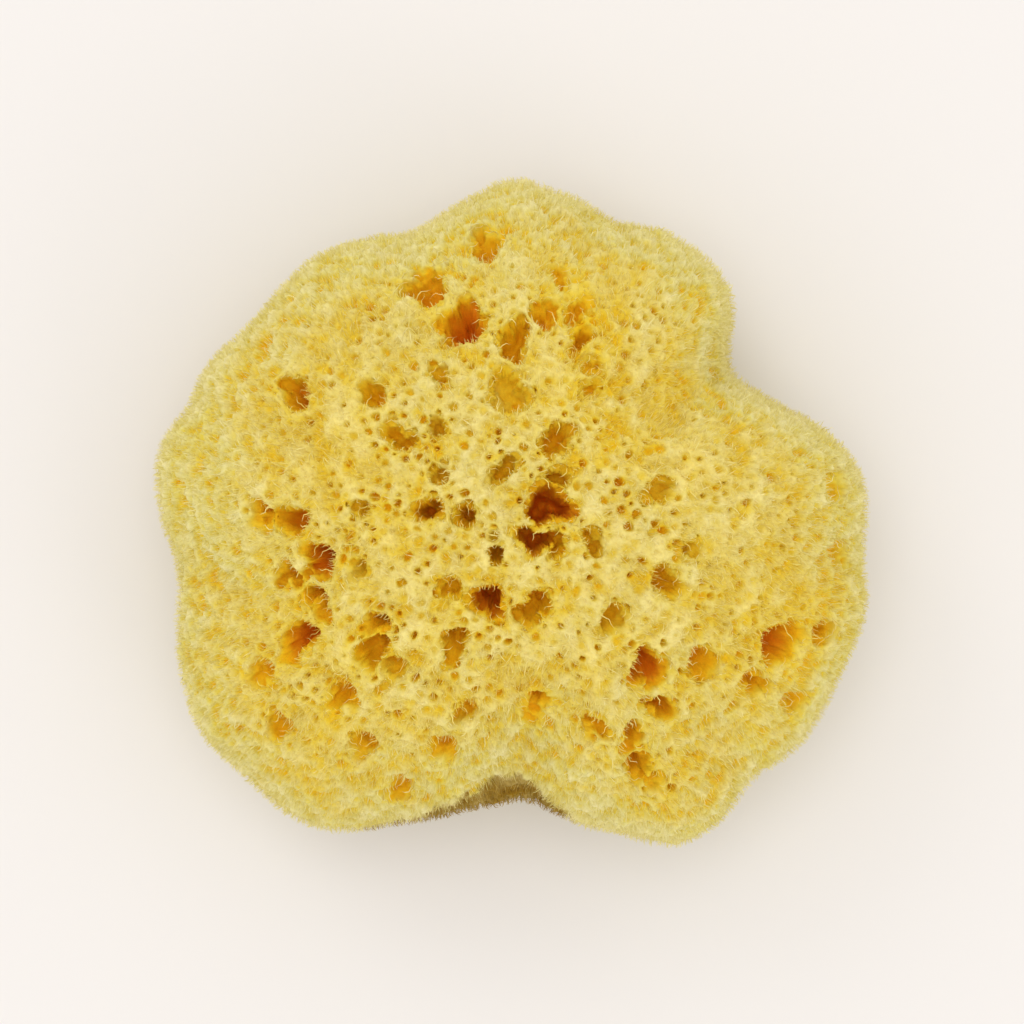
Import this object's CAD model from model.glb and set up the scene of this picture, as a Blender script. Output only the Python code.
"""The dried sea sponge as it looks: porous body, tufts of fibre, pale floor and soft daylight."""

import math
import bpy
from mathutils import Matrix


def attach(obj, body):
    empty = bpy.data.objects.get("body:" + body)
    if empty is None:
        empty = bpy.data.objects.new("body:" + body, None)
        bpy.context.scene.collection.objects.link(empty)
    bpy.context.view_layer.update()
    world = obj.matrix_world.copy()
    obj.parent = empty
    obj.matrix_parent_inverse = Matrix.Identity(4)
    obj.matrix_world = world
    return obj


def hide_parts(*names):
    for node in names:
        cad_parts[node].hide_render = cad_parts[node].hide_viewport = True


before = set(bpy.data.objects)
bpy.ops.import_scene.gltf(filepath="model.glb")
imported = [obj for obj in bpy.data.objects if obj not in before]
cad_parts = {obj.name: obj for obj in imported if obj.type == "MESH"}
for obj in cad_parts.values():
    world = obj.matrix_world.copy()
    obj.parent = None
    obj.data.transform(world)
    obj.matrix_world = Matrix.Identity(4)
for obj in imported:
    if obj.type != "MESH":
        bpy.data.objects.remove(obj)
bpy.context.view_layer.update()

from types import SimpleNamespace

import bmesh
import bpy
import numpy as np
from mathutils import Vector
from mathutils.bvhtree import BVHTree
from mathutils.kdtree import KDTree

MM = 0.001
NODE = "sea_sponge"
RNG = np.random.default_rng(7)

# Lengths are in millimetres, apart from those of the studio
MIDDLE = np.array((0.0, 0.0, 14.0))
SPREAD = 15.0  # every surface point is seen along one line from a disc of this radius round the middle
CROWDING = 1.4  # how much closer the lines stand above and below than at the sides
SIGHT_START = 200.0  # how far out each line starts
SIGHT_LEVELS = 8  # how fine the sphere of lines is
BODY_LEVELS = 9  # how fine the skin is. Each level has four times the triangles of the one before.
PLUMB_START = 40.0  # how far above the outer form each plumb line starts

# Steps from point to point over the surface
OPENING_STEPS = 1  # clears thin walls between oscula
CLOSING_STEPS = 7  # fills the oscula to find the outer form
FORM_STEPS = 30  # smooths that form
FUNNEL_STEPS = 16  # widens the mouths of the oscula into soft funnels
BOTTOM_STEPS = 4  # carries the depth of an osculum's bottom out to its rim
WIDE_STEPS = 4  # tells wide bowls from narrow oscula

# The skin and its pores
FUR = 1.1  # how far the skin lies inside the tips of the tufts
FUNNEL_SHARE = 0.25  # the depth of a funnel as a share of its osculum's
PORE_SPACING = 2.2
PORE_RADIUS = (0.32, 0.92)
PORE_DEPTH = (0.4, 2.4)
PORE_TRIES = 200000
RIDGE_RISE = 0.2  # how high the skin stands between the pores
FLOOR_GAP = 0.12

# Depths that the colour goes by
DARKEST = 16.0
HALO = 1.6  # added around a pore
STAIN = 4.2  # the most that is added in a pore
GLOOM = 0.5  # how much the walls of an osculum are as dark as its bottom

# The olive patch at the lower notch is a wedge that widens towards the base
OLIVE_PEAK = (1.0, -48.8)
OLIVE_SLOPES = (0.485, -1.0)  # left and right of the peak
OLIVE_TOP = 34.0

# Fibres. A length has its least and its most.
TUFT_SPACING = (1.35, 1.15, 1.6)  # on top, on the shoulders, low on the flanks
TUFT_TRIES = 300000
FIBRES_A_TUFT = 3
FIBRE_RADIUS = 0.07
FUZZ_SPACING = (0.75, 0.6)  # on the flanks, on top
FUZZ_TRIES = 260000
FUZZ_LENGTH = (0.8, 1.7)
FUZZ_RADIUS = 0.05
CURL_SPACING = (0.8, 1.1, 2.3)  # on the crown, on the shoulders, below the widest ring
CURL_TRIES = 200000
CURL_LENGTH = (0.7, 2.5)
CURL_RADIUS = 0.11
FRINGE_SPACING = 2.8
FRINGE_TRIES = 100000
FRINGE_LENGTH = (1.0, 3.3)
FRINGE_RADIUS = 0.13

# Each part of the skin with its lowest height and its triangles
BODY_PARTS = (("top", 57.0, 190000), ("shoulder", 34.0, 190000), ("flank", -1.0, 90000))
PIECE_FACES = 195000  # the most triangles in a piece of fibres

# Screen colours by shade, from the bottom of the deepest oscula to the tips
SHADES = (0.0, 0.08, 0.15, 0.22, 0.3, 0.42, 0.53, 0.60, 0.68, 0.78, 1.0)
GOLDEN = (
    (241, 142, 9), (229, 130, 7), (226, 135, 7), (227, 150, 7), (231, 171, 9), (235, 181, 11),
    (231, 189, 26), (227, 193, 46), (227, 199, 72), (228, 205, 100), (240, 222, 140),
)
PALE = (
    (241, 144, 10), (229, 132, 10), (226, 137, 10), (226, 153, 12), (229, 172, 16), (231, 186, 26),
    (223, 198, 66), (222, 204, 98), (223, 210, 128), (228, 216, 148), (239, 228, 176),
)
OLIVE_SHADES = (0.0, 0.45, 0.7, 1.0)
OLIVE = ((96, 60, 10), (128, 90, 14), (152, 115, 22), (176, 142, 44))
PALEST = 0.75  # the tint at which the skin is pale. It is golden at 0 and olive at 1.


def unit(vectors):
    return vectors / np.maximum(np.linalg.norm(vectors, axis=1, keepdims=True), 1e-12)


def smoothstep(low, high, values):
    """0 up to low, 1 from high on, with a smooth rise between them."""
    share = np.clip((values - low) / (high - low), 0, 1)
    return share * share * (3 - 2 * share)


def between(limits, share):
    """The value at a share of the way from the first limit to the second."""
    return limits[0] + (limits[1] - limits[0]) * share


def quartered(points, faces):
    """Each triangle cut into four. Also returns the two ends that each new point lies between."""
    ends = np.sort(np.concatenate((faces[:, (0, 1)], faces[:, (1, 2)], faces[:, (2, 0)])), axis=1)
    keys, index = np.unique(ends[:, 0] * len(points) + ends[:, 1], return_inverse=True)
    pairs = np.stack((keys // len(points), keys % len(points)), axis=1)
    ab, bc, ca = (index + len(points)).reshape(3, -1)
    a, b, c = faces.T
    corners = np.stack((a, ab, ca, ab, b, bc, ca, bc, c, ab, bc, ca), axis=1)
    return corners.reshape(-1, 3), pairs


def sphere(levels):
    """A unit sphere of even triangles."""
    first_levels = 4
    mesh = bmesh.new()
    bmesh.ops.create_icosphere(mesh, subdivisions=first_levels, radius=1.0)
    points = np.array([v.co[:] for v in mesh.verts])
    faces = np.array([[v.index for v in f.verts] for f in mesh.faces])
    mesh.free()
    for _ in range(levels - first_levels):
        faces, pairs = quartered(points, faces)
        points = unit(np.concatenate((points, points[pairs].mean(axis=1))))
    return unit(points), faces


def neighbour_table(faces, count):
    """Six neighbours of each point of a closed mesh. A point with five has its last one twice."""
    ends = np.concatenate((faces[:, (0, 1)], faces[:, (1, 2)], faces[:, (2, 0)]))
    ends = ends[np.argsort(ends[:, 0], kind="stable")]
    first = np.searchsorted(ends[:, 0], np.arange(count))
    degree = np.diff(np.append(first, len(ends)))
    return ends[first[:, None] + np.minimum(np.arange(6), degree[:, None] - 1), 1]


def smoothed(values, near, steps, share=0.5):
    """Values that come nearer to those of their neighbours with each step."""
    for _ in range(steps):
        values = values * (1 - share) + values[near].mean(axis=1) * share
    return values


def widened(values, near, steps):
    """Values that rise with each step to the highest of their neighbours."""
    for _ in range(steps):
        values = np.maximum(values, values[near].max(axis=1))
    return values


def narrowed(values, near, steps):
    """Values that fall with each step to the lowest of their neighbours."""
    for _ in range(steps):
        values = np.minimum(values, values[near].min(axis=1))
    return values


def point_normals(points, faces):
    a, b, c = points[faces[:, 0]], points[faces[:, 1]], points[faces[:, 2]]
    across = np.cross(b - a, c - a)
    total = np.zeros_like(points)
    for corner in range(3):
        for axis in range(3):
            total[:, axis] += np.bincount(faces[:, corner], across[:, axis], len(points))
    return unit(total)


def steepest(points, values, near):
    """The way along the surface in which the values grow, with their growth per millimetre as its length."""
    steps = points[near] - points[:, None]
    gains = values[near] - values[:, None]
    squares = np.maximum((steps**2).sum(axis=(1, 2)), 1e-9)
    return (steps * gains[..., None]).sum(axis=1) / squares[:, None] * 2


def waves(points, size, seed, octaves=2):
    """Smooth random values of about -1 to 1 with the given feature size, from sums of tilted waves."""
    rng = np.random.default_rng(seed)
    total = np.zeros(len(points))
    for octave in range(octaves):
        scale = size / 2**octave
        for _ in range(9):
            way = rng.normal(size=3)
            way *= 2 * math.pi / scale / np.linalg.norm(way) * rng.uniform(0.6, 1.4)
            total += np.sin(points @ way + rng.uniform(0, 2 * math.pi)) / 2**octave
    return total / 3


def streaked(points, size, seed):
    """Smooth random values in streaks that run out from the middle and down, three times as long as wide."""
    drum = 55.0  # the streaks are as wide as given at this distance from the middle
    away = points - MIDDLE
    around = unit(away[:, :2]) * drum
    run = np.hypot(away[:, 0], away[:, 1]) - away[:, 2]
    return waves(np.column_stack((around, run / 3)), size, seed, 2)


def scattered(points, spacing, tries):
    """Indices of points that keep at least their own spacing from each other, filling the surface evenly."""
    cells, kept = {}, []
    size = float(spacing.max())
    steps = (-1, 0, 1)
    around = [(ix, iy, iz) for ix in steps for iy in steps for iz in steps]
    for index in RNG.permutation(len(points))[:tries]:
        x, y, z = points[index]
        room = spacing[index] * spacing[index]
        cx, cy, cz = int(x // size), int(y // size), int(z // size)
        crowded = any(
            (x - ox) ** 2 + (y - oy) ** 2 + (z - oz) ** 2 < room
            for ix, iy, iz in around
            for ox, oy, oz in cells.get((cx + ix, cy + iy, cz + iz), ())
        )
        if not crowded:
            cells.setdefault((cx, cy, cz), []).append((x, y, z))
            kept.append(index)
    return np.array(kept)


def along(ways, distance):
    """The points at a distance along the lines of sight."""
    return MIDDLE + ways * (SPREAD, SPREAD, 0) + ways * distance[:, None]


def seen_distance(tree, ways, ragged):
    """How far out the solid's surface lies on each line of sight. Ragged lines make its edges uneven."""
    sight = unit(ways + ragged)
    starts = MIDDLE + ways * (SPREAD, SPREAD, 0) + sight * SIGHT_START
    distance = np.empty(len(ways))
    for index, (start, way) in enumerate(zip(starts, sight)):
        distance[index] = SIGHT_START - tree.ray_cast(Vector(start), Vector(-way))[3]
    return distance


def plumb_depth(tree, form, faces, ragged):
    """How far straight below the outer form the solid's surface lies, where that form faces up."""
    faced = point_normals(form, faces)[:, 2]
    down = Vector((0, 0, -1))
    fall = np.zeros(len(form))
    for index in np.flatnonzero(faced > 0.5):
        start = form[index] + ragged[index] * 35 + (0, 0, PLUMB_START)
        fall[index] = tree.ray_cast(Vector(start), down)[3] - start[2] + form[index, 2]
    return np.where(fall > 2.5, fall * smoothstep(0.5, 0.7, faced), 0)


def grown_form():
    """The solid's surface, found along an even sphere of lines of sight.

    Returns the lines' directions and faces. For each line it also returns the distance of the surface and
    of the outer form, the depth of the osculum it ends in, and from 0 to 1 how much that is a wide bowl.
    """
    solid = bpy.data.objects[NODE]
    corners = [v.co / MM for v in solid.data.vertices]
    tree = BVHTree.FromPolygons(corners, [p.vertices[:] for p in solid.data.polygons])
    ways, faces = sphere(SIGHT_LEVELS)
    ways = unit(ways * (1, 1, CROWDING))
    near = neighbour_table(faces, len(ways))
    ragged = np.stack([waves(ways * 60, 5.0, seed, 3) for seed in (1, 2, 3)], axis=1) * 0.02
    distance = seen_distance(tree, ways, ragged)
    opened = widened(narrowed(distance, near, OPENING_STEPS), near, OPENING_STEPS)
    closed = narrowed(widened(distance, near, CLOSING_STEPS), near, CLOSING_STEPS)
    closed = np.maximum(smoothed(closed, near, 8), opened)
    pitted, filled = (point_normals(along(ways, form), faces) for form in (opened, closed))
    turned = widened(1 - (pitted * filled).sum(axis=1), near, CLOSING_STEPS)
    walled = smoothed(smoothstep(0.35, 0.6, turned), near, 3)  # 1 at the oscula, 0 in the gentle creases
    hollow = (closed - opened) * walled
    closed = smoothed(opened + hollow, near, FORM_STEPS)
    hollow = np.maximum(hollow, 0.9 * plumb_depth(tree, along(ways, closed), faces, ragged))
    wide = widened(narrowed(hollow, near, WIDE_STEPS), near, WIDE_STEPS + 3)
    bowl = smoothstep(1.0, 4.0, wide) * (1 - smoothstep(9.0, 14.0, hollow))
    share = 0.84 + 0.11 * smoothstep(9.0, 13.0, hollow) - 0.16 * bowl  # of the solid's depth
    hollow = smoothed(hollow * share, near, 2)
    distance = closed - hollow - FUNNEL_SHARE * smoothed(hollow, near, FUNNEL_STEPS)
    bottom = widened(hollow, near, BOTTOM_STEPS)
    return ways, faces, distance, closed, smoothed(bottom, near, 2), smoothed(bowl, near, 2)


def pore_field(points):
    """For each point, the distance to the middle of the nearest pore, and that pore's own values."""
    spacing = PORE_SPACING * (1 + 0.2 * waves(points, 12.0, 12, 2))
    pores = scattered(points, spacing, PORE_TRIES)
    tree = KDTree(len(pores))
    for index, place in enumerate(points[pores]):
        tree.insert(place, index)
    tree.balance()
    nearest = np.empty(len(points), dtype=int)
    distance = np.empty(len(points))
    for index, place in enumerate(points):
        _, nearest[index], distance[index] = tree.find(place)
    distance += 0.12 * waves(points, 1.4, 22, 2)
    size = RNG.uniform(0, 1, len(pores)) ** 1.5
    strength = RNG.uniform(0, 1, len(pores)) ** 2.4
    radius = between(PORE_RADIUS, size)[nearest]
    return SimpleNamespace(
        distance=distance,
        radius=radius,
        strength=strength[nearest],
        depth=between(PORE_DEPTH, strength)[nearest],
        hole=1 - smoothstep(0.55 * radius, 1.15 * radius, distance),
    )


def skin_lift(skin, pores):
    """How far the skin lies inside the outer form, and how far its relief lifts it from there."""
    points, sunk, edge, flat = skin.points, skin.sunk, skin.edge, skin.flat
    rise = smoothstep(0.6, 1.5, pores.distance) * RIDGE_RISE
    clump = waves(points, 9.0, 11, 3)
    rough = 0.17 * waves(points, 1.5, 21, 3) + 0.08 * waves(points, 0.8, 27, 1)
    walls = smoothstep(0.6, 2.5, sunk) * (1 - smoothstep(4.0, 8.0, sunk))
    broken = 0.4 * waves(points, 2.2, 28, 2) * walls  # broken walls of the oscula
    under = 1 - smoothstep(-0.6, 0.1, skin.outer[:, 2])  # the flank below the widest ring
    furrows = (0.3 * skin.streaks + 0.22 * skin.strokes) * (1 - 0.65 * under)
    furrows += 0.2 * waves(points, 3.0, 29, 2) * under
    relief = (rise - pores.hole * pores.depth) * (1 - 0.75 * edge)
    relief += clump * (0.4 - 0.3 * edge)
    relief += rough * (1 - 0.7 * edge)
    relief = (relief + furrows - 0.35 * skin.dips) * skin.calm + broken
    inset = (FUR + RIDGE_RISE) * (1 - flat) * (1 - 0.35 * smoothstep(1.0, 4.0, sunk))
    lift = np.minimum(relief - inset, -0.3) + inset
    base_lift = -pores.hole * pores.depth * 0.8 - 0.02 + 0.5 * np.minimum(rise - RIDGE_RISE, 0)
    return inset, lift * (1 - flat) + base_lift * flat


def colour_depth(skin, pores, lift):
    """The depth that the colour goes by: the true one, more in pores and dips and less in wide bowls."""
    sunk, edge, facing = skin.sunk, skin.edge, skin.outer[:, 2]
    halo = (1 - smoothstep(0.7 * pores.radius, 1.1, pores.distance)) * (0.5 + 0.5 * pores.strength)
    stain = 0.5 * waves(skin.points, 3.5, 23, 2) + STAIN * pores.hole * pores.strength
    smudge = 2.4 * smoothstep(0.1, 1.3, -skin.streaks) + 1.4 * smoothstep(0.15, 1.1, -skin.strokes)
    smudge *= 0.4 + 0.6 * smoothstep(0.15, 0.6, facing)
    smudge += 1.6 * skin.dips + 1.1 * smoothstep(0.3, 1.3, waves(skin.points, 13.0, 38, 2)) * edge
    depth = sunk + FUR - lift + (HALO * halo + stain * (1 - 0.6 * edge) + smudge) * skin.calm
    depth += (GLOOM * np.maximum(skin.bottom - sunk, 0) + 0.6) * smoothstep(0.9, 3.6, sunk)
    depth -= 2.0 * skin.bowl * smoothstep(2.0, 5.0, sunk)
    lit = 1.3 * smoothstep(8.0, 11.0, skin.bottom) - 2.3 * smoothstep(0.85, 0.97, facing)
    depth += lit * smoothstep(1.5, 4.0, sunk)
    depth += 0.35 * smoothstep(0.3, 0.6, facing) * (1 - smoothstep(0.8, 0.95, facing))
    return np.maximum(smoothed(depth, skin.near, 2), 0.5)


def grown_skin():
    """The porous skin on the solid's surface, with the values that its colours and fibres go by.

    Each point has its normal and, as outer, that of the outer form. sunk is its depth in an osculum, and
    below is its whole depth under the outer form. pore is its distance from the edge of the nearest pore,
    inward the way into the nearest osculum, rimmed the nearness of one, and flat is 1 on the cut base.
    """
    ways, faces, *fields = grown_form()
    for _ in range(BODY_LEVELS - SIGHT_LEVELS):
        faces, pairs = quartered(ways, faces)
        ways = unit(np.concatenate((ways, ways[pairs].mean(axis=1))))
        fields = [np.concatenate((field, field[pairs].mean(axis=1))) for field in fields]
    distance, closed, bottom, bowl = fields
    near = neighbour_table(faces, len(ways))
    distance = smoothed(distance, near, 2)
    points, form = along(ways, distance), along(ways, closed)
    outer = point_normals(form, faces)
    normals = unit(smoothed(point_normals(points, faces), near, 8) + 0.5 * outer)
    sunk = (closed - distance) * np.abs((ways * outer).sum(axis=1))
    inward = steepest(form, smoothed(sunk, near, 6), near)
    pores = pore_field(points)
    edge = 1 - smoothstep(0.5, 0.95, outer[:, 2])
    flat = (1 - smoothstep(0.2, 1.5, points[:, 2])) * (outer[:, 2] < -0.7)
    skin = SimpleNamespace(points=points, near=near, outer=outer, sunk=sunk, bottom=bottom, bowl=bowl)
    skin.edge, skin.flat = edge, flat
    skin.streaks = streaked(points, 3.0, 24) * edge  # clumps of fur that run down the flanks
    skin.strokes = streaked(points, 1.25, 25) * edge
    skin.dips = smoothstep(0.2, 1.4, waves(points, 5.5, 26, 2)) * (1 - 0.7 * edge)  # between the tufts
    skin.calm = 1 - 0.5 * smoothstep(1.5, 5.0, sunk)  # the walls deep inside the oscula are smoother
    inset, lift = skin_lift(skin, pores)
    moved = points - unit(outer * 0.6 + normals * 0.4) * inset[:, None] + normals * lift[:, None]
    moved[:, 2] = np.maximum(moved[:, 2], FLOOR_GAP)
    return SimpleNamespace(
        points=moved,
        faces=faces,
        normals=normals,
        outer=outer,
        sunk=sunk,
        below=np.maximum(sunk + inset - lift, 0),
        depth=colour_depth(skin, pores, lift),
        pore=pores.distance - pores.radius,
        inward=inward,
        rimmed=smoothstep(2.0, 5.0, bottom),
        flat=flat,
    )


def shade_of(depth):
    """Colour value by depth below the outer form: 1 at the tips, 0 at the bottom of the deepest oscula."""
    return 1 - np.clip(depth / DARKEST, 0, 1) ** 0.55


def tint_of(points, outer):
    """How pale or olive the skin is: pale down the slopes, olive at the lower notch and in specks by it."""
    pale = 0.2 + 0.12 * waves(points, 45.0, 31, 1) + 0.1 * waves(points, 9.0, 32, 2)
    slope = 1 - smoothstep(0.2, 0.9, outer[:, 2])
    slope_share = 0.55 + 0.45 * smoothstep(-0.7, 0.1, outer[:, 2])
    pale = np.clip(pale + 0.7 * slope * slope_share, 0, PALEST)
    x, y, z = points.T
    brink = np.where(x < OLIVE_PEAK[0], *OLIVE_SLOPES) * (x - OLIVE_PEAK[0]) + OLIVE_PEAK[1]
    brink += 0.5 * np.maximum(OLIVE_TOP - z, 0)
    brink += 0.7 * waves(points, 5.0, 33, 2)
    patch = smoothstep(-0.3, 1.3, brink - y) * (0.45 + 0.55 * smoothstep(4.0, OLIVE_TOP, z))
    patch *= 0.9 + 0.12 * waves(points, 6.0, 37, 2)
    strip = np.exp(-(((x + 14.0) / 24.0) ** 4)) * (1 - smoothstep(-56.5, -53.5, y))
    strip *= 1 - smoothstep(20.0, OLIVE_TOP, z)
    specks = strip * smoothstep(0.25, 0.6, waves(points, 4.5, 35, 2)) * 0.9
    foot = (1 - smoothstep(2.0, 9.0, z)) * 0.25 * (1 + waves(points, 17.0, 34, 3))
    return pale + (1 - pale) * np.clip(np.maximum(np.maximum(patch, specks), foot), 0, 1)


def fibre_tint(places, outer, shift=0.0):
    """The skin's tint, varied a little from fibre to fibre. Only fibres in the olive patch are olive."""
    tint = tint_of(places, outer)
    varied = np.clip(tint + shift + RNG.normal(size=len(tint)) * 0.06, 0, PALEST)
    return np.where(tint > PALEST + 0.01, tint, varied)


def jitter(count, amount):
    """Random steps in every direction."""
    return RNG.normal(size=(count, 3)) * amount


def combed(places, normals, outer, amount):
    """The way the fibres stand: out of the skin, swept away from the middle, with an uneven drift."""
    count = len(places)
    drift = np.stack([waves(places, 14.0, seed, 2) for seed in (41, 42, 43)], axis=1) * 0.22
    away = places - MIDDLE
    away[:, 2] = 0
    sweep = smoothstep(10.0, 42.0, np.linalg.norm(away, axis=1)) * smoothstep(0.1, 0.8, outer[:, 2]) * 1.5
    return unit(normals + drift + unit(away) * sweep[:, None] + jitter(count, amount))


def held_in(places, base, outer, room):
    """The places, pushed back where they stand out past the tips of the fur."""
    rise = ((places - base) * outer).sum(axis=1)
    return places - outer * np.maximum(rise - room - 0.25, 0)[:, None]


# Each kind of fibre is given by roots, middles and tips, radii, the shades of root and tip, and tints


def tufts(skin):
    """Fine fibres that stand together in tufts, closer at their tips than at their roots."""
    open_skin = np.flatnonzero((skin.pore > 0.3) & (skin.sunk < 0.6) & (skin.flat < 0.3))
    top = smoothstep(0.75, 0.97, skin.outer[open_skin, 2])
    low = 1 - smoothstep(18.0, 28.0, skin.points[open_skin, 2])
    on_top, on_shoulders, on_flanks = TUFT_SPACING
    spacing = on_shoulders + (on_top - on_shoulders) * top + (on_flanks - on_shoulders) * low
    chosen = open_skin[scattered(skin.points[open_skin], spacing, TUFT_TRIES)]
    count = len(chosen)
    base, normal, outer = skin.points[chosen], skin.normals[chosen], skin.outer[chosen]
    over = skin.inward[chosen]
    pull = np.linalg.norm(over, axis=1)
    over = unit(over) * (0.2 * smoothstep(0.05, 0.5, pull))[:, None]  # tufts at a rim lean over it
    way = unit(combed(base, normal, outer, 0.12) + over)
    room = np.maximum(skin.below[chosen] - skin.sunk[chosen], 0.5)
    height = 0.25 + room * RNG.uniform(0.8, 1.1, count)
    height *= 1 - 0.5 * smoothstep(0.2, 0.7, pull)
    height /= np.maximum((way * outer).sum(axis=1), 0.45)
    deep = skin.depth[chosen]
    which = np.repeat(np.arange(count), FIBRES_A_TUFT)
    total = len(which)
    spread = jitter(total, 0.42)
    spread -= normal[which] * (spread * normal[which]).sum(axis=1)[:, None]
    reach = height[which] * RNG.uniform(0.6, 1.1, total)
    roots = base[which] - normal[which] * 0.3 + spread
    tips = base[which] + way[which] * reach[:, None] + jitter(total, 0.2) + spread * 0.35
    tips = held_in(tips, base[which], outer[which], room[which])
    middles = (roots + tips) / 2 + spread * 0.3 + jitter(total, 0.12)
    lifted = np.clip(deep[which] - 1.2 * reach, 0.1, 0.8)
    shades = shade_of(deep[which] * 0.9), shade_of(lifted)
    tints = fibre_tint(base[which], outer[which])
    return roots, middles, tips, FIBRE_RADIUS * RNG.uniform(0.7, 1.2, total), shades, tints


def fuzz(skin):
    """Single fine fibres that lie about in every direction over the whole skin."""
    woolly = np.flatnonzero((skin.pore > 0.15) & (skin.sunk < 0.8) & (skin.flat < 0.3))
    top = smoothstep(0.6, 0.9, skin.outer[woolly, 2])
    chosen = woolly[scattered(skin.points[woolly], between(FUZZ_SPACING, top), FUZZ_TRIES)]
    count = len(chosen)
    base, normal, outer = skin.points[chosen], skin.normals[chosen], skin.outer[chosen]
    room = np.maximum(skin.below[chosen] - skin.sunk[chosen], 0.4)
    base = base + normal * (room * RNG.uniform(0.0, 0.7, count))[:, None]
    way = jitter(count, 1.0)
    way = unit(way - normal * ((way * normal).sum(axis=1) * 0.7 - 0.25)[:, None])
    length = RNG.uniform(*FUZZ_LENGTH, count) * (1 - 0.5 * skin.rimmed[chosen])
    tips = held_in(base + way * length[:, None], skin.points[chosen], outer, room)
    middles = (base + tips) / 2 + jitter(count, 0.15)
    deep = skin.depth[chosen]
    crown = smoothstep(0.6, 0.9, outer[:, 2])
    shades = shade_of(deep * 0.95), shade_of(deep * (0.85 - 0.5 * crown * RNG.uniform(0, 1, count)))
    tints = fibre_tint(base, outer)
    return base, middles, tips, FUZZ_RADIUS * RNG.uniform(0.7, 1.2, count), shades, tints


def curls(skin):
    """Short, bent, pale ends of fibre over the skin between the pores, fewer below the widest ring."""
    facing = skin.outer[:, 2]
    open_skin = np.flatnonzero((skin.pore > -0.1) & (skin.sunk < 1.0) & (skin.flat < 0.3) & (facing > -0.8))
    edge = 1 - smoothstep(0.4, 0.85, facing[open_skin])
    under = 1 - smoothstep(-0.1, 0.1, facing[open_skin])
    spacing = between(CURL_SPACING[:2], edge) + (CURL_SPACING[2] - CURL_SPACING[1]) * under
    chosen = open_skin[scattered(skin.points[open_skin], spacing, CURL_TRIES)]
    count = len(chosen)
    base, normal, outer = skin.points[chosen], skin.normals[chosen], skin.outer[chosen]
    room = np.maximum(skin.below[chosen] - skin.sunk[chosen], 0.4)
    roots = base - normal * 0.15
    way = jitter(count, 1.0)
    way -= normal * (way * normal).sum(axis=1)[:, None]
    swept = 0.6 + 0.9 * (1 - smoothstep(0.6, 0.95, outer[:, 2]))
    way = unit(unit(way) + unit(combed(base, normal, outer, 0.1)) * swept[:, None])
    length = between(CURL_LENGTH, RNG.uniform(0, 1, count) ** 2)
    length *= 1 - 0.5 * skin.rimmed[chosen]
    middles = base + way * (0.45 * length)[:, None] + normal * (room * RNG.uniform(0.5, 1.2, count))[:, None]
    tips = base + way * length[:, None] + normal * (room * RNG.uniform(0.1, 0.9, count))[:, None]
    middles, tips = held_in(middles, base, outer, room), held_in(tips, base, outer, room)
    deep = skin.depth[chosen]
    shades = shade_of(deep), shade_of(np.minimum(deep * 0.3, 0.8))
    tints = fibre_tint(base, outer, 0.15)
    return roots, middles, tips, CURL_RADIUS * RNG.uniform(0.6, 1.3, count), shades, tints


def fringe(skin):
    """Long pale strands that curl over the mouths of the oscula."""
    pull = np.linalg.norm(skin.inward, axis=1)
    rim = np.flatnonzero((skin.sunk > 0.2) & (skin.sunk < 1.2) & (pull > 0.35) & (skin.flat < 0.3))
    chosen = rim[scattered(skin.points[rim], np.full(len(rim), FRINGE_SPACING), FRINGE_TRIES)]
    count = len(chosen)
    base, outer = skin.points[chosen], skin.outer[chosen]
    over = unit(skin.inward[chosen])
    length = between(FRINGE_LENGTH, RNG.uniform(0, 1, count) ** 1.5)
    rise = skin.below[chosen] * RNG.uniform(0.55, 0.95, count)
    roots = base - outer * 0.2
    tips = base + outer * rise[:, None] + over * length[:, None] + jitter(count, 0.35)
    middles = base + outer * (rise * 0.85)[:, None] + over * (0.25 * length)[:, None] + jitter(count, 0.25)
    shades = shade_of(skin.depth[chosen] * 0.8), shade_of(np.full(count, 0.6))
    tints = fibre_tint(base, outer)
    return roots, middles, tips, FRINGE_RADIUS * RNG.uniform(0.6, 1.2, count), shades, tints


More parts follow.
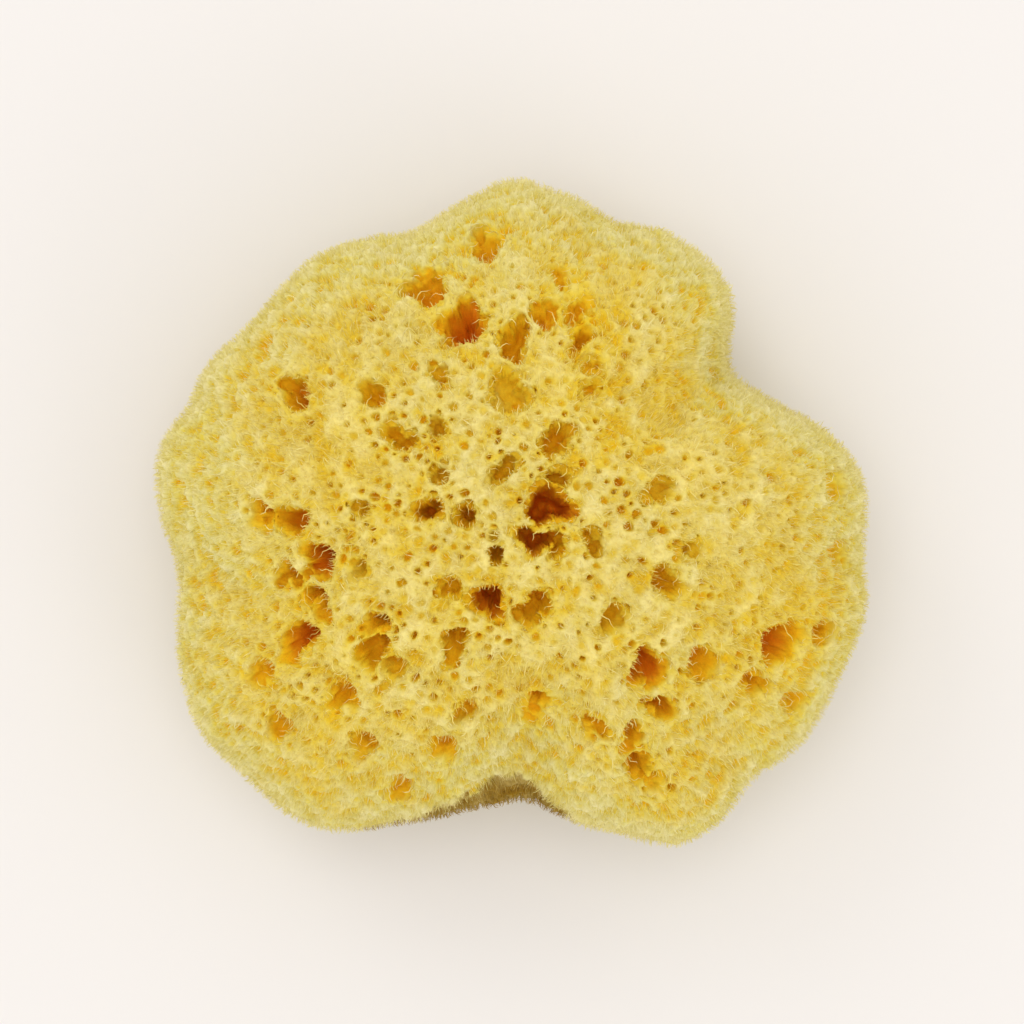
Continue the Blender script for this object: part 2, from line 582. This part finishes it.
def strands(roots, middles, tips, radius, rings, shades, tints, curl):
    """Closed, three-sided, tapering fibres along curves from roots past middles to tips.

    rings is the number of cross-sections before the pointed tip. shades holds the values of root and tip.
    """
    count = len(roots)
    way = unit(tips - roots)
    side = unit(np.cross(way, RNG.normal(size=(count, 3))))
    over = np.cross(way, side)
    turn = RNG.uniform(0, 2 * math.pi, count)
    layers, layer_shades = [], []
    for ring in range(rings + 1):
        t = ring / rings
        place = roots * (1 - t) ** 2 + middles * (2 * t * (1 - t)) + tips * t**2
        if curl:
            swing = curl * t * (1 - 0.3 * t)
            place = place + side * (np.sin(turn + 9 * t) * swing)[:, None]
            place = place + over * (np.cos(turn + 9 * t) * swing)[:, None]
        place[:, 2] = np.maximum(place[:, 2], 2 * FLOOR_GAP)
        value = shades[0] * (1 - t) + shades[1] * t
        if ring == rings:
            layers.append(place)
            layer_shades.append(value)
            continue
        wide = radius * (1 - 0.75 * t**1.5)
        for corner in range(3):
            angle = 2 * math.pi * corner / 3
            layers.append(place + (side * math.cos(angle) + over * math.sin(angle)) * wide[:, None])
            layer_shades.append(value)
    points = np.stack(layers, axis=1).reshape(-1, 3)
    shade = np.stack(layer_shades, axis=1).reshape(-1)
    pattern = [(0, 2, 1)]
    for ring in range(rings - 1):
        low, high = 3 * ring, 3 * ring + 3
        for corner in range(3):
            after = (corner + 1) % 3
            pattern.append((low + corner, low + after, high + after))
            pattern.append((low + corner, high + after, high + corner))
    last = 3 * rings - 3
    for corner in range(3):
        pattern.append((last + corner, last + (corner + 1) % 3, 3 * rings))
    step = 3 * rings + 1
    faces = (np.arange(count)[:, None, None] * step + np.array(pattern)).reshape(-1, 3)
    return points, faces, shade, np.repeat(tints, step)


def make_object(name, points, faces, shade, tint, material, smooth=True):
    """A mesh object from arrays in millimetres, with its two colour values as attributes."""
    mesh = bpy.data.meshes.new(name)
    mesh.vertices.add(len(points))
    mesh.vertices.foreach_set("co", (points * MM).astype(np.float32).ravel())
    mesh.loops.add(faces.size)
    mesh.loops.foreach_set("vertex_index", faces.astype(np.int32).ravel())
    mesh.polygons.add(len(faces))
    mesh.polygons.foreach_set("loop_start", np.arange(0, faces.size, 3, dtype=np.int32))
    mesh.update(calc_edges=True)
    for label, values in (("shade", shade), ("tint", tint)):
        layer = mesh.attributes.new(label, "FLOAT", "POINT")
        layer.data.foreach_set("value", values.astype(np.float32))
    mesh.polygons.foreach_set("use_smooth", np.full(len(faces), smooth))
    mesh.materials.append(material)
    made = bpy.data.objects.new(name, mesh)
    bpy.context.scene.collection.objects.link(made)
    return made


def take_place(piece):
    """Lays out the piece's map by its two colour values and puts it in the place of the solid."""
    mesh = piece.data
    layout = mesh.uv_layers.new(name="OFBake")
    corner = np.empty(len(mesh.loops), dtype=np.int32)
    mesh.loops.foreach_get("vertex_index", corner)
    values = np.empty((2, len(mesh.vertices)), dtype=np.float32)
    mesh.attributes["shade"].data.foreach_get("value", values[0])
    mesh.attributes["tint"].data.foreach_get("value", values[1])
    layout.uv.foreach_set("vector", values.T[corner].clip(0.002, 0.998).ravel())
    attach(piece, "root")
    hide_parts(NODE)


def body_pieces(skin, material):
    """The skin in parts, one below the other, each thinned to its own number of triangles."""
    shade, tint = shade_of(skin.depth), tint_of(skin.points, skin.outer)
    heights = skin.points[skin.faces].mean(axis=1)[:, 2]
    ceiling = math.inf
    for name, low, most in BODY_PARTS:
        own = skin.faces[(heights >= low) & (heights < ceiling)]
        ceiling = low
        used, index = np.unique(own, return_inverse=True)
        piece = make_object(name, skin.points[used], index.reshape(-1, 3), shade[used], tint[used], material)
        thin = piece.modifiers.new("thin", "DECIMATE")
        thin.ratio = min(1.0, most / len(own))
        reduced = bpy.data.meshes.new_from_object(piece.evaluated_get(bpy.context.evaluated_depsgraph_get()))
        piece.modifiers.clear()
        piece.data = reduced
        take_place(piece)


def fibre_pieces(label, rings, fibres, material, curl=0.0):
    """Pieces of fibres, each a sector seen from above, small enough to handle."""
    roots, middles, tips, radius, shades, tints = fibres
    fibre_faces = 6 * rings - 2
    sectors = math.ceil(len(roots) / (PIECE_FACES // fibre_faces))
    around = np.argsort(np.arctan2(roots[:, 1], roots[:, 0]))
    for index, some in enumerate(np.array_split(around, sectors)):
        curves = roots[some], middles[some], tips[some]
        values = shades[0][some], shades[1][some]
        arrays = strands(*curves, radius[some], rings, values, tints[some], curl)
        take_place(make_object("%s_%d" % (label, index), *arrays, material, smooth=False))


def node_material(name, roughness):
    material = bpy.data.materials.new(name)
    material.use_nodes = True
    nodes, links = material.node_tree.nodes, material.node_tree.links
    shader = nodes["Principled BSDF"]
    shader.inputs["Roughness"].default_value = roughness
    return material, nodes, links, shader


def srgb(*levels):
    """Linear colour from screen levels of 0 to 255."""
    return tuple(((v / 255 + 0.055) / 1.055) ** 2.4 for v in levels) + (1.0,)


def attribute_value(nodes, name):
    """The value of one of the piece's own colour values."""
    attribute = nodes.new("ShaderNodeAttribute")
    attribute.attribute_name = name
    return attribute.outputs["Fac"]


def ramp_colour(nodes, links, value, places, colours):
    """The colour that a ramp has at the value."""
    ramp = nodes.new("ShaderNodeValToRGB")
    elements = ramp.color_ramp.elements
    while len(elements) < len(places):
        elements.new(0.5)
    for element, place, colour in zip(elements, places, colours):
        element.position = place
        element.color = srgb(*colour)
    links.new(value, ramp.inputs["Fac"])
    return ramp.outputs["Color"]


def ranged(nodes, links, value, start, end, low=0.0, high=1.0):
    """The value moved from the range of start to end into that of low to high."""
    node = nodes.new("ShaderNodeMapRange")
    node.inputs["From Min"].default_value = start
    node.inputs["From Max"].default_value = end
    node.inputs["To Min"].default_value = low
    node.inputs["To Max"].default_value = high
    links.new(value, node.inputs["Value"])
    return node.outputs["Result"]


def mixed(nodes, links, share, first, second):
    mix = nodes.new("ShaderNodeMix")
    mix.data_type = "RGBA"
    links.new(share, mix.inputs["Factor"])
    links.new(first, mix.inputs["A"])
    links.new(second, mix.inputs["B"])
    return mix.outputs["Result"]


def sponge_material(name, hairy):
    """Golden, pale and olive ramps by shade, mixed by tint and flecked. The skin alone has a fine bump."""
    material, nodes, links, shader = node_material(name, 0.8)
    shade, tint = attribute_value(nodes, "shade"), attribute_value(nodes, "tint")
    golden = ramp_colour(nodes, links, shade, SHADES, GOLDEN)
    pale = ramp_colour(nodes, links, shade, SHADES, PALE)
    olive = ramp_colour(nodes, links, shade, OLIVE_SHADES, OLIVE)
    colour = mixed(nodes, links, ranged(nodes, links, tint, 0.0, PALEST), golden, pale)
    colour = mixed(nodes, links, ranged(nodes, links, tint, PALEST, 1.0), colour, olive)
    place = nodes.new("ShaderNodeTexCoord")
    noise = nodes.new("ShaderNodeTexNoise")
    noise.inputs["Scale"].default_value = 1700.0
    noise.inputs["Detail"].default_value = 4.0
    noise.inputs["Roughness"].default_value = 0.7
    links.new(place.outputs["Object"], noise.inputs["Vector"])
    grain = noise.outputs["Fac"]
    flecked = nodes.new("ShaderNodeVectorMath")
    flecked.operation = "SCALE"
    links.new(colour, flecked.inputs[0])
    links.new(ranged(nodes, links, grain, 0.3, 0.7, 0.93, 1.06), flecked.inputs["Scale"])
    links.new(flecked.outputs["Vector"], shader.inputs["Base Color"])
    links.new(ranged(nodes, links, grain, 0.0, 1.0, 0.7, 0.95), shader.inputs["Roughness"])
    shader.inputs["Specular IOR Level"].default_value = 0.2
    if not hairy:
        bump = nodes.new("ShaderNodeBump")
        bump.inputs["Strength"].default_value = 0.4
        bump.inputs["Distance"].default_value = 0.0005
        links.new(grain, bump.inputs["Height"])
        links.new(bump.outputs["Normal"], shader.inputs["Normal"])
    return material


def studio():
    """Pale floor, white surroundings, three soft lamps and the view straight down, in metres."""
    bpy.ops.mesh.primitive_plane_add(size=6)
    floor = bpy.context.object
    floor.name = "floor"
    material, nodes, links, shader = node_material("floor", 0.9)
    shader.inputs["Base Color"].default_value = srgb(228, 223, 219)
    floor.data.materials.append(material)
    world = bpy.data.worlds.new("studio")
    world.use_nodes = True
    surroundings = world.node_tree.nodes["Background"]
    surroundings.inputs["Color"].default_value = (1, 1, 1, 1)
    surroundings.inputs["Strength"].default_value = 1.0
    bpy.context.scene.world = world
    lamps = (
        ("key", 0.8, 2.6, (-0.95, 1.05, 1.35)),
        ("overhead", 0.9, 4.6, (-0.1, 0.15, 1.6)),
        ("fill", 0.8, 2.0, (0.95, -1.0, 1.1)),
    )
    for name, size, watts, place in lamps:
        lamp = bpy.data.lights.new(name, "AREA")
        lamp.shape = "DISK"
        lamp.size = size
        lamp.energy = watts
        light = bpy.data.objects.new(name, lamp)
        light.location = place
        light.rotation_euler = (-light.location).to_track_quat("-Z", "Y").to_euler()
        bpy.context.scene.collection.objects.link(light)
    lens = bpy.data.cameras.new("camera")
    camera = bpy.data.objects.new("camera", lens)
    camera.location = (0, 0, 1.028)
    lens.sensor_width = 36
    lens.lens = 180.5
    lens.clip_end = 10
    bpy.context.scene.collection.objects.link(camera)
    bpy.context.scene.camera = camera
    bpy.context.scene.view_settings.view_transform = "Standard"
    bpy.context.scene.view_settings.look = "None"


def main():
    skin = grown_skin()
    body_pieces(skin, sponge_material("sponge", False))
    fibre_material = sponge_material("fibre", True)
    fibre_pieces("tufts", 1, tufts(skin), fibre_material)
    fibre_pieces("fuzz", 1, fuzz(skin), fibre_material)
    fibre_pieces("curls", 2, curls(skin), fibre_material)
    fibre_pieces("fringe", 5, fringe(skin), fibre_material, 0.5)
    studio()


main()
